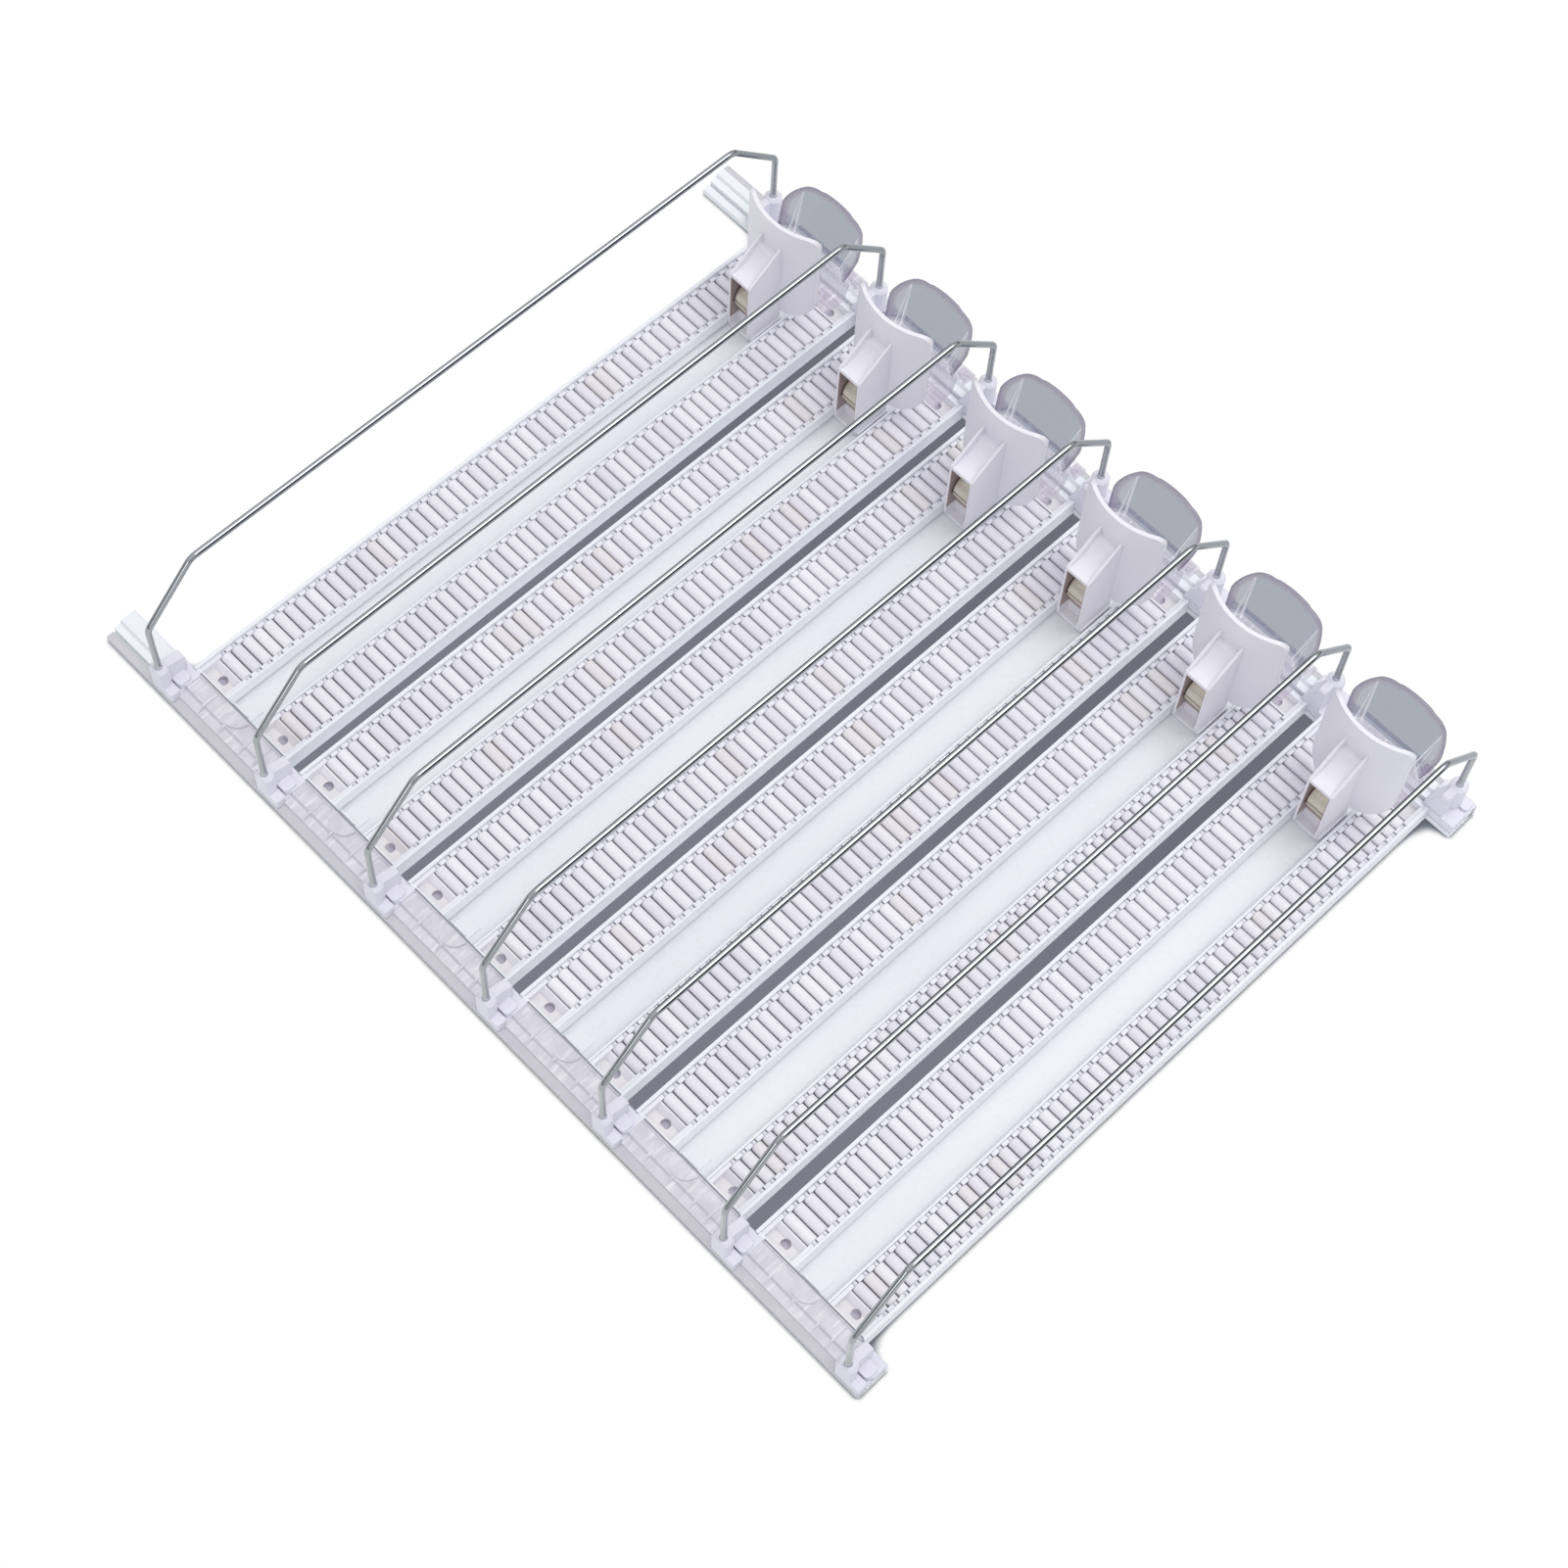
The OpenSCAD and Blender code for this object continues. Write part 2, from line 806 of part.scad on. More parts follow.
module step_rib(r) {
    along_rail(front_flange_y, -base_w / 2, base_w / 2)
        translate([r, tray_h + base_t - merge])
            square([step_t, step_t]);
}

module front_stop() {
    color(clear_part)
        union() {
            stop_panel();
            stop_base();
            for (k = [-1 : 0.4 : 1])
                stop_rib(k * (base_w / 2 - base_t));
            for (k = [1 : 3])
                step_rib(k * step_pitch - base_in);
        }
}

/* Rear caps */

cap_gap = 0.6;
cap_from = boss_d / 2 + cap_gap - pitch / 2;
cap_to = pitch / 2 - wing_len - cap_gap;
lip_t = 1.2;
cap_lip_top = rail_h + 4;
cap_rib_t = 1;
cap_rib_top = rail_h + saddle_t + 0.8;
// The outer rib stands this far in from the cap's end, and the others this far apart
cap_rib_in = 8.2;
cap_rib_step = 13.5;
tongue_w = 9;
tongue_len = 9;
clip_w = 14;
clip_t = 2.2;
// Height of the tongue above the channel floor
tongue_rise = 2;

module rear_cap() {
    tray_back = tray_len / 2;
    color(clear_part)
        union() {
            along_rail(rear_flange_y, cap_from, cap_to)
                saddle_section(saddle_t);
            along_rail(rear_flange_y, cap_from, cap_to)
                translate([rail_w - lip_t, rail_h + saddle_t - merge])
                    square([lip_t, cap_lip_top - rail_h - saddle_t + merge]);
            difference() {
                for (x = [cap_from + cap_rib_in, -cap_rib_step, 0, cap_rib_step])
                    along_rail(rear_flange_y, x - cap_rib_t / 2, x + cap_rib_t / 2)
                        polygon([
                            [flange_w, flange_h],
                            [flange_w, ridge_h + saddle_t],
                            [ridge_end - 1, cap_rib_top],
                            [rail_w - lip_t / 2, cap_rib_top],
                            [rail_w - lip_t / 2, rail_h]
                        ]);
                below_saddle(rear_flange_y);
            }
            cap_clip(tray_back);
        }
}

// The clip arches over the lip and reaches down into the channel as a tongue
module cap_clip(tray_back) {
    translate([0, tray_back + 1, rail_h + saddle_t - merge])
        intersection() {
            cylinder(d = clip_w, h = clip_t);
            translate([-clip_w / 2, 0, 0])
                cube([clip_w, clip_w / 2, clip_t]);
        }
    translate([-tongue_w / 2, tray_back - tongue_len, channel_z + tongue_rise])
        cube([tongue_w, tongue_len, 1]);
    translate([-tongue_w / 2, tray_back - lip_t, channel_z + tongue_rise])
        cube([tongue_w, lip_t, cap_rib_top - channel_z]);
    translate([-tongue_w / 2, tray_back - lip_t, rail_h + saddle_t])
        cube([tongue_w, 2 * lip_t, clip_t - merge]);
}

/* The row */

for (i = [1 : LANES]) {
    translate([lane_x(i), 0, 0]) {
        tray();
        roller_strips();
        pusher();
        spring();
        front_stop();
        rear_cap();
    }
}
for (i = [1 : LANES + 1]) {
    translate([leg_x(i), 0, 0]) {
        rear_bracket();
        front_bracket();
        wire_divider();
    }
}
rail(rear_flange_y);  // rear_rail
rail(front_flange_y);  // front_rail
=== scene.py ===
"""Looks of a fridge can organizer: six roller lanes on two rails, with wire dividers,
spring pushers and clear stops. Metres throughout; the front faces -Y and +Z is up."""

import bmesh
import bpy
import numpy as np
from mathutils import Matrix, Vector


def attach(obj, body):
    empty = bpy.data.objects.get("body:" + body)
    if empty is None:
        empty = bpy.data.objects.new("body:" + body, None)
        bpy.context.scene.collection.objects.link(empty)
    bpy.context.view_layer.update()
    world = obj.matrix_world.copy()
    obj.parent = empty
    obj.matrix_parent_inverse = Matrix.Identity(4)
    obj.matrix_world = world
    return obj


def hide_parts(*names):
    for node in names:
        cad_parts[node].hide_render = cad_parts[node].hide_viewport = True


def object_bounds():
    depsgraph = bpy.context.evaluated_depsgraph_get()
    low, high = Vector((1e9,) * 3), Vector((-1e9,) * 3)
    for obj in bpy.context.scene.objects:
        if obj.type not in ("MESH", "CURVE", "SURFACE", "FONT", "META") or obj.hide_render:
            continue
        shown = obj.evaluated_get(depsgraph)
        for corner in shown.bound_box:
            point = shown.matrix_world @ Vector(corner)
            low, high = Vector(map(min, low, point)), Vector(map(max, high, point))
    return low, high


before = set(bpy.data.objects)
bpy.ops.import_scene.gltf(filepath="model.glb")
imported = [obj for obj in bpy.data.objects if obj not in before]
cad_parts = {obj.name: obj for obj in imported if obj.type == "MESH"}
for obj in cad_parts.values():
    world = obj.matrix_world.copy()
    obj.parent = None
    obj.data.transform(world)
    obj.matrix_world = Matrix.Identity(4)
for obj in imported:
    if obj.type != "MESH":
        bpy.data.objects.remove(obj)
cad_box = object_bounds()

UP = (0.0, 0.0, 1.0)

# The row, as the CAD nodes have it. The rails' outer flanges start at FLANGE_Y
LANES = 6
PITCH = 0.070
LEG_FIRST = -0.22375
LANE_FIRST = LEG_FIRST + PITCH / 2
TRAY_HALF = 0.1705
FLANGE_Y = 0.1835
ROLLER_PITCH = 0.0059
ROLLER_BAY, ROLLER_R = 0.0115, 0.00265
ROLLER_FIRST = TRAY_HALF - ROLLER_BAY - ROLLER_R

# Where a tone changes: the trays' channel, the holes and bays at the strips' ends, the
# rollers, the pushers' pockets, and the caps' tongue and edge. The channel, the holes, the
# pockets, the tongue and the edge are painted shade
CHANNEL_HALF, CHANNEL_TOP = 0.0098, 0.0052
HOLE_ACROSS, HOLE_Y, HOLE_R = 0.0201, 0.1643, 0.0023
HOLE_FADE = 0.0002
TRAY_HOLE_TOP, STRIP_HOLE_TOP = 0.0025, 0.0036
BAY_START, BAY_END, BAY_TOP = 0.1593, 0.1692, 0.0042
ROLLERS_IN, ROLLERS_OUT = 0.0123, 0.0275
POCKET_HALF = 0.0056
POCKET_FRONT, POCKET_REAR = -0.1438, -0.124
POCKET_LOW, POCKET_HIGH = 0.0125, 0.0432
TONGUE_END = TRAY_HALF - 0.0005
CAP_EDGE_START, CAP_EDGE_END = TRAY_HALF - 0.0003, TRAY_HALF + 0.0009
CAP_EDGE_LOW = 0.0085

# Wire dividers. FOOT_LAST, FOOT_STEP and FOOT_NEXT are depths below a socket's top: the
# thicker foot's last point, its end, and the first point of the wire's own radius
WIRE_R = 0.0015
WIRE_TOP = 0.080
WIRE_SLANT = 0.0274
WIRE_BEND_R = 0.006
WIRE_SINK = 0.0089
SOCKET_R = 0.00163
FRONT_LEG, FRONT_SOCKET = -0.1802, 0.0252
REAR_LEG, REAR_SOCKET = 0.1846, 0.0214
FOOT_LAST, FOOT_STEP, FOOT_NEXT = 0.0005, 0.0004, 0.0002
LEG_END = 0.010
WIRE_STEP = 0.012
RUN_FRONT, RUN_REAR = -0.1498, 0.1543
SLANT_FRONT, SLANT_LOW = -0.1535, 0.048
GRIP_ABOVE = 0.0024

# Wound spring strips
COIL_Y, COIL_Z = -0.1347, 0.0245
COIL_R = 0.0085
COIL_BORE_R = 0.0025
COIL_W = 0.0101
COIL_TURNS = 15
COIL_POINTS = 44
STRIP_T = 0.00026
STRIP_EDGE = 0.0043

# Front stops: the panel's foot, slope, outline and creases, how far in from the rim its
# rows of points lie, in millimetres, and where its rim's painted shade and its painted
# streaks of light end
STOP_FOOT_Y, STOP_FOOT_Z = -0.1740927, 0.0215
STOP_LEAN = np.radians(23)
STOP_HALF = 0.024
STOP_LEN = 0.0295
STOP_CORNER_R = 0.015
STOP_CORNER_Z = 0.013
STOP_CROWN_R = 0.045
STOP_ROOT = -0.001
STOP_TAPER = 0.115
CREASE_LOW, CREASE_FAN = 0.0145, 0.14
CREASE_SOFT = 0.0010
RETURN_SLOPE = 0.654
CLEAR_T = 0.0015
RIM_R = 0.00115
RIM_FADE = 1.4 * RIM_R
RIM_STEPS = np.array([0, 0.12, 0.3, 0.6, 1.0, 1.5, 2.1, 2.9, 3.9, 5.0])
PANEL_HEIGHT = 29
RIM_END, RIM_OUTER_END = 0.0030, 0.0016
STREAK_TOP, STREAK_FALL, STREAK_SPREAD = 0.0465, 0.0245, 0.0026
STREAK_IN = 0.0015
FOOT_GLINT = 0.0240
FRONT_EDGE = -0.1705
BASE_HALF = 0.0224

# The floor: its size, how far its soft and its close shade reach, and the middle and half
# width of the row, whose even shade ends under the outer trays
FLOOR_HALF = 6.0
SHADE_REACH = 0.022
TOUCH_REACH = 0.003
ROW_MIDDLE = LEG_FIRST + LANES / 2 * PITCH
ROW_HALF = LANES / 2 * PITCH - 0.01

# The photograph's camera
CAMERA_AT = (-0.42785, 0.4750, 1.2017)
CAMERA_LOOK = (0.30309, -0.33735, -0.89125)
CAMERA_RIGHT = (-0.69508, -0.71806, 0.03542)
PHOTO_SIDE = 1601
PHOTO_FOCAL = 3202.7
SENSOR = 36.0


class Value:
    """A number that varies over a surface. Arithmetic on it adds Math nodes."""

    def __init__(self, finish, socket):
        self.finish, self.socket = finish, socket

    def _join(self, operation, *values):
        return self.finish.math(operation, *values)

    def __add__(self, other):
        return self._join("ADD", self, other)

    __radd__ = __add__

    def __sub__(self, other):
        return self._join("SUBTRACT", self, other)

    def __rsub__(self, other):
        return self._join("SUBTRACT", other, self)

    def __mul__(self, other):
        return self._join("MULTIPLY", self, other)

    __rmul__ = __mul__

    def __truediv__(self, other):
        return self._join("DIVIDE", self, other)

    def __pow__(self, other):
        return self._join("POWER", self, other)

    def __gt__(self, other):
        return self._join("GREATER_THAN", self, other)

    def __lt__(self, other):
        return self._join("LESS_THAN", self, other)


class Finish:
    """One material, written from its Object coordinates to its Principled shader."""

    def __init__(self, name, **constants):
        self.material = bpy.data.materials.new(name)
        self.material.use_nodes = True
        self.nodes = self.material.node_tree.nodes
        self.links = self.material.node_tree.links
        self.shader = self.nodes["Principled BSDF"]
        self.output = self.nodes["Material Output"]
        for label, value in constants.items():
            self.shader.inputs[label.replace("_", " ")].default_value = value
        self.place = self.node("ShaderNodeTexCoord")["Object"]
        split = self.node("ShaderNodeSeparateXYZ", Vector=self.place)
        self.x, self.y, self.z = split["X"], split["Y"], split["Z"]

    def node(self, kind, settings=None, **inputs):
        """Adds a node: its settings first, then its sockets. Returns its outputs by name."""
        made = self.nodes.new(kind)
        for key, value in (settings or {}).items():
            setattr(made, key, value)
        for label, value in inputs.items():
            socket = made.inputs[label.replace("_", " ")]
            self.feed(socket, value)
        return {out.name: Value(self, out) for out in made.outputs}

    def feed(self, socket, value):
        if isinstance(value, Value):
            self.links.new(value.socket, socket)
        else:
            socket.default_value = value

    def math(self, operation, *values):
        made = self.nodes.new("ShaderNodeMath")
        made.operation = operation
        for socket, value in zip(made.inputs, values):
            self.feed(socket, value)
        return Value(self, made.outputs[0])

    def clamp(self, value, low=0.0, high=1.0):
        return self.math("MINIMUM", self.math("MAXIMUM", value, low), high)

    def under(self, value, high, soft=0.0001):
        """1 below high, with an edge that fades over soft."""
        return self.clamp((high - value) / soft + 0.5)

    def band(self, value, low, high, soft=0.0001):
        """1 between low and high, with edges that fade over soft."""
        return self.clamp((value - low) / soft + 0.5) * self.under(value, high, soft)

    def across(self):
        """The distance across from the middle line of the nearest lane."""
        return self.math("PINGPONG", self.x - LANE_FIRST, PITCH / 2)

    def noise(self, scale, detail=2.0, roughness=0.5, stretch=(1, 1, 1), place=None):
        """Noise whose features are 1 / scale metres across, stretched along an axis."""
        mapped = self.node("ShaderNodeMapping", Vector=place or self.place, Scale=stretch)
        made = self.node("ShaderNodeTexNoise", Vector=mapped["Vector"], Scale=scale,
                         Detail=detail, Roughness=roughness)
        return made["Fac"]

    def facing(self, direction):
        """How far a face turns to a fixed direction of the row, from -1 to 1."""
        normal = self.node("ShaderNodeNewGeometry")["Normal"]
        made = self.nodes.new("ShaderNodeVectorMath")
        made.operation = "DOT_PRODUCT"
        self.feed(made.inputs[0], normal)
        self.feed(made.inputs[1], direction)
        return Value(self, made.outputs["Value"])

    def upright(self):
        """0 on level faces and 1 on walls."""
        return 1 - self.math("ABSOLUTE", self.facing(UP))

    def bay_hole(self, across):
        """1 in the holes of the bays at the strips' ends, which fade at their rims: where the
        finishes paint the holes' shade.
        """
        away_x = across - HOLE_ACROSS
        away_y = self.math("ABSOLUTE", self.y) - HOLE_Y
        away = (away_x * away_x + away_y * away_y) ** 0.5
        return self.clamp((HOLE_R + HOLE_FADE - away) / (2 * HOLE_FADE))

    def mix(self, factor, a, b):
        """A colour between a and b."""
        made = self.nodes.new("ShaderNodeMix")
        made.data_type = "RGBA"
        for index, value in ((0, factor), (6, a), (7, b)):
            self.feed(made.inputs[index], value)
        return Value(self, made.outputs[2])

    def mix_shader(self, factor, a, b):
        """A surface between two others."""
        made = self.nodes.new("ShaderNodeMixShader")
        for socket, value in zip(made.inputs, (factor, a, b)):
            self.feed(socket, value)
        return Value(self, made.outputs[0])

    def bump(self, height, distance, strength=1.0, edge=None):
        """Relief from height, over edges that are rounded by the radius edge. An edge of 0
        keeps every face of a moulding flat up to its edges."""
        made = {"Height": height, "Distance": distance, "Strength": strength}
        if edge:
            made["Normal"] = self.node("ShaderNodeBevel", {"samples": 4}, Radius=edge)["Normal"]
        elif edge == 0:
            made["Normal"] = self.node("ShaderNodeNewGeometry")["True Normal"]
        self.feed(self.shader.inputs["Normal"], self.node("ShaderNodeBump", **made)["Normal"])

    def set(self, label, value):
        self.feed(self.shader.inputs[label], value)

    def tint(self, share, colour):
        """Lays a colour over the base colour that the shader already has."""
        under = Value(self, self.shader.inputs["Base Color"].links[0].from_socket)
        self.set("Base Color", self.mix(share, under, colour))


def rgb(red, green, blue):
    """A colour of the screen, 0 to 255, as the linear values that shaders take."""
    share = np.array([red, green, blue]) / 255
    linear = np.where(share <= 0.04045, share / 12.92, ((share + 0.055) / 1.055) ** 2.4)
    return (*linear.tolist(), 1.0)


def moulded(name, light, dark, rough=0.42, edge=0.0003):
    """Injection moulded plastic: a satin skin with a fine grain, slow drifts of tone and
    soft edges."""
    f = Finish(name, IOR=1.49, Specular_IOR_Level=0.45)
    drift = f.noise(18, 3)
    f.set("Base Color", f.mix(f.clamp((drift - 0.35) * 2.4), light, dark))
    grain = f.noise(2600, 2)
    f.set("Roughness", rough + 0.12 * (f.noise(160, 3) - 0.5))
    f.bump(grain, 0.00002, 0.35, edge)
    return f


def rail_finish():
    """The rails: satin white, and greyer on their thin outer flanges: painted shade for the
    shadow along their outer faces by the floor.
    """
    f = moulded("rail_plastic", rgb(243, 246, 249), rgb(237, 240, 245), edge=0)
    # painted shade: the outer flange is greyer, as its face lies in shadow by the floor
    f.tint(f.math("ABSOLUTE", f.y) > FLANGE_Y, rgb(206, 205, 210))
    return f


def tray_finish():
    """The trays: satin bluish white, a little glossier on the channel's floor, which is
    painted darker and bluer as the shade of its recess.
    """
    f = Finish("tray_plastic", IOR=1.49, Specular_IOR_Level=0.5)
    across = f.across()
    in_channel = f.under(across, CHANNEL_HALF) * (f.z < CHANNEL_TOP)
    drift = f.clamp((f.noise(22, 3, stretch=(1, 0.25, 1)) - 0.35) * 2.4)
    wall = f.mix(drift, rgb(243, 244, 249), rgb(236, 239, 245))
    # painted shade: the channel's floor is darker and bluer, as the shade of its recess
    floor = f.mix(drift, rgb(234, 236, 241), rgb(227, 229, 235))
    tone = f.mix(in_channel, wall, floor)
    # painted shade: the hole is darker, as its inside lies in shade
    hole_shade = f.bay_hole(across) * (f.z < TRAY_HOLE_TOP)
    f.set("Base Color", f.mix(hole_shade, tone, rgb(192, 188, 202)))
    f.set("Roughness", 0.42 - 0.14 * in_channel + 0.1 * (f.noise(160, 3) - 0.5))
    f.bump(f.noise(2600, 2), 0.00002, 0.35, 0.0003)
    return f


def roller_finish():
    """The roller strips: satin plastic in which no two rollers have quite the same tone."""
    f = Finish("roller_plastic", IOR=1.49, Specular_IOR_Level=0.45)
    row = f.math("FLOOR", (ROLLER_FIRST + ROLLER_PITCH / 2 - f.y) / ROLLER_PITCH)
    half_lane = f.math("FLOOR", (f.x - LEG_FIRST) / (PITCH / 2))
    place = f.node("ShaderNodeCombineXYZ", X=row, Y=half_lane)["Vector"]
    draw = f.node("ShaderNodeTexWhiteNoise", {"noise_dimensions": "2D"}, Vector=place)["Value"]
    across = f.across()
    on_roller = f.band(across, ROLLERS_IN, ROLLERS_OUT)
    light, dark, warm = rgb(243, 241, 247), rgb(230, 227, 236), rgb(235, 231, 229)
    tone = f.mix(draw, light, dark)
    tone = f.mix((draw > 0.95) * 0.6, tone, warm)
    frame_tone = f.mix(f.clamp(f.noise(30, 3)), rgb(240, 240, 247), rgb(232, 231, 239))
    in_bay = f.band(f.math("ABSOLUTE", f.y), BAY_START, BAY_END) * (f.z < BAY_TOP)
    frame_tone = f.mix(in_bay, frame_tone, rgb(232, 229, 232))
    tone = f.mix(on_roller * (1 - in_bay), frame_tone, tone)
    # painted shade: the hole is darker, as its inside lies in shade
    hole_shade = f.bay_hole(across) * (f.z < STRIP_HOLE_TOP)
    f.set("Base Color", f.mix(hole_shade, tone, rgb(192, 188, 200)))
    f.set("Roughness", 0.4 + 0.15 * (f.noise(300, 3) - 0.5))
    f.bump(f.noise(3200, 2), 0.00003, 0.5)
    return f


def pusher_finish():
    """The pushers: satin lavender white, with painted shade, browner and darker, in the
    pocket of the spring.
    """
    f = moulded("pusher_plastic", rgb(241, 239, 245), rgb(235, 233, 241), 0.46)
    # painted shade: the pocket of the spring, under the hood, is browner and darker
    pocket_shade = (f.across() < POCKET_HALF) * f.band(f.y, POCKET_FRONT, POCKET_REAR)
    f.tint(pocket_shade * f.band(f.z, POCKET_LOW, POCKET_HIGH), rgb(172, 154, 152))
    return f


def panel_finish():
    """A stop's panel: smoky clear plastic. The map rim_map gives the distance past the
    crease and in from the rim. The rim is denser, and painted darker and a little purple as
    the shade of its rounded edge. Two painted highlights run down from it as streaks of
    light, along the crease and apart from it, the foot has a painted glint, and the walls
    folded back past the creases have a paler painted sheen."""
    f = Finish("stop_plastic", IOR=1.5, Specular_IOR_Level=0.6, Roughness=0.06)
    crease_and_in = f.node("ShaderNodeUVMap", {"uv_map": "rim_map"})["UV"]
    split = f.node("ShaderNodeSeparateXYZ", Vector=crease_and_in)
    from_crease, inward = split["X"], split["Y"]
    # the rim: denser, and painted darker and a little purple as the shade of its rounded edge
    rim = f.clamp((RIM_END - inward) / 0.0008)
    outer = f.clamp((RIM_OUTER_END - inward) / 0.0012)
    down = f.clamp((STREAK_TOP - f.z) / STREAK_FALL)
    # painted highlights: two streaks of light, along the crease and apart from it, and a glint
    # along the foot
    crease = f.band(from_crease, -0.0002, 0.0005, 0.0003) * (0.55 + 0.45 * down)
    apart = from_crease - STREAK_SPREAD * down
    second = f.band(apart, -0.0002, 0.0004, 0.0003) * (0.3 + 0.6 * down)
    foot = f.clamp((FOOT_GLINT - f.z) / 0.0006)
    glint = f.clamp(crease + second) * f.clamp((inward - STREAK_IN) / 0.001)
    glint = f.clamp(glint + 0.8 * foot)
    # painted sheen: the walls folded back past the creases are paler
    returned = f.clamp(from_crease / 0.0006)
    cloud = f.clamp((f.noise(34, 2) - 0.3) * 2.0)
    face = f.mix(cloud, rgb(58, 86, 118), rgb(80, 104, 134))
    face = f.mix(returned * 0.7, face, rgb(138, 136, 156))
    edge = f.mix(outer, rgb(154, 147, 165), rgb(126, 117, 141))
    tone = f.mix(rim, face, edge)
    f.set("Base Color", f.mix(glint, tone, rgb(252, 252, 255)))
    f.set("Alpha", f.clamp(0.40 + 0.02 * cloud + 0.17 * rim + 0.08 * outer + 0.4 * glint))
    f.bump(f.noise(90, 2), 0.0002, 0.08)
    return f


def base_finish():
    """A stop's base: the same plastic, ribbed and stepped, pale over the white rail. Its pale
    streaks are painted glints of light, and its walls are painted darker as shade."""
    f = Finish("stop_base_plastic", IOR=1.5, Specular_IOR_Level=0.6, Roughness=0.12)
    upright = f.upright()
    # painted glints: pale streaks of light, fewer on the walls
    glint_streak = f.clamp((f.noise(700, 2, stretch=(1, 0.1, 0.1)) - 0.54) * 6)
    glint_streak = glint_streak * (1 - 0.8 * upright)
    cloud = f.noise(150, 2)
    tone = f.mix(glint_streak, rgb(200, 192, 207), rgb(250, 249, 254))
    # painted shade: the walls are darker
    f.set("Base Color", f.mix(f.clamp(upright * 0.4), tone, rgb(212, 206, 219)))
    f.set("Alpha", f.clamp(0.42 + 0.22 * glint_streak + 0.06 * cloud - 0.1 * upright, 0.05))
    f.bump(f.noise(500, 2, stretch=(1, 0.2, 0.2)), 0.0002, 0.2, 0)
    return f


def cap_finish():
    """The rear caps: frosted clear plastic over the white rail, which makes it nearly
    white, with faint strokes across. Its walls and the part over the rail's outer flange are
    painted darker as shade, its tongue takes the channel's painted shade, and its edge
    against the tray is painted as a dark line of shade."""
    f = Finish("cap_plastic", IOR=1.5, Specular_IOR_Level=0.6)
    upright = f.upright()
    cloud = f.clamp((f.noise(170, 2) - 0.4) * 3)
    stroke = f.clamp((f.noise(420, 2, stretch=(1, 0.12, 0.3)) - 0.52) * 6)
    tone = f.mix(cloud, rgb(214, 211, 220), rgb(223, 220, 229))
    tone = f.mix(stroke * 0.6, tone, rgb(248, 246, 251))
    # painted shade: the walls are darker
    tone = f.mix(f.clamp(upright * 0.8), tone, rgb(204, 202, 214))
    # painted shade: the part over the rail's outer flange is greyer
    tone = f.mix(f.y > FLANGE_Y, tone, rgb(203, 200, 208))
    # painted shade: the tongue takes the channel's darker, bluer shade
    tone = f.mix(f.y < TONGUE_END, tone, rgb(232, 234, 240))
    # painted shade: a dark line along the edge against the tray
    edge = f.band(f.y, CAP_EDGE_START, CAP_EDGE_END, 0.0003) * (f.z > CAP_EDGE_LOW)
    f.set("Base Color", f.mix(edge * 0.9, tone, rgb(132, 132, 144)))
    f.set("Roughness", 0.14 + 0.15 * cloud)
    f.set("Alpha", 0.93 + 0.05 * cloud)
    f.bump(f.noise(240, 2), 0.0001, 0.12, 0)
    return f


def wire_finish():
    """Bright drawn wire: fine lines along its length. On the long run a painted highlight
    makes the top bright, with a painted dark reflection as a line on each side. The front
    slant is painted darker as a darker reflection, and the feet are painted pale and matt
    where the sockets grip them, a painted lightening over the dark ring there."""
    f = Finish("divider_wire")
    along = f.node("ShaderNodeUVMap", {"uv_map": "length"})["UV"]
    line = f.noise(900, 1, stretch=(1, 0.02, 1), place=along)
    tone = f.mix(f.clamp((line - 0.3) * 2), rgb(164, 168, 172), rgb(178, 181, 184))
    rise = f.facing(UP)
    on_run = f.band(f.y, RUN_FRONT, RUN_REAR, 0.003)
    # painted shade: the front slant is darker, as a darker reflection
    dark_slant = f.clamp((SLANT_FRONT - f.y) / 0.002) * f.clamp((f.z - SLANT_LOW) / 0.006)
    tone = f.mix(dark_slant, tone, rgb(136, 142, 149))
    # painted highlight: the top of the run is brighter
    tone = f.mix(on_run * f.clamp((rise - 0.90) / 0.04), tone, rgb(192, 195, 199))
    # painted reflection: a dark line on each side of the run's top
    tone = f.mix(on_run * f.band(rise, 0.52, 0.87, 0.06), tone, rgb(62, 66, 72))
    # painted lightening: the feet are pale and matt at the sockets, over the dark ring there
    socket = REAR_SOCKET + (FRONT_SOCKET - REAR_SOCKET) * (f.y < 0.0)
    pale_foot = f.clamp((socket + GRIP_ABOVE - f.z) / 0.0012)
    f.set("Base Color", f.mix(pale_foot, tone, rgb(206, 206, 216)))
    f.set("Metallic", 1 - 0.9 * pale_foot)
    f.set("Roughness", 0.12 + 0.06 * f.noise(70, 3) + 0.3 * pale_foot)
    f.bump(line, 0.000004, 0.1)
    return f


def strip_finish():
    """The wound spring strip: rolled steel with warm reflections and fine lines. Its edges
    are painted darker as the shadow between the coil and the pocket's walls."""
    f = Finish("spring_strip", Metallic=0.7)
    line = f.noise(1500, 2, stretch=(1, 0.2, 0.2))
    tone = f.mix(line, rgb(206, 196, 180), rgb(230, 223, 210))
    # painted shadow: the coil's edges are darker, by the pocket's walls
    on_edge = f.clamp((f.across() - STRIP_EDGE) / 0.0004)
    f.set("Base Color", f.mix(on_edge, tone, rgb(112, 96, 90)))
    f.set("Roughness", 0.3 + 0.15 * f.noise(200, 2))
    return f


def let_light_through(piece):
    """A clear piece casts no shadow and stops no soft light."""
    piece.visible_shadow = piece.visible_diffuse = False


def dress(names, finish):
    """Gives every node whose name starts with one of names the finish."""
    for name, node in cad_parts.items():
        if name.startswith(names):
            node.data.materials.clear()
            node.data.materials.append(finish.material)


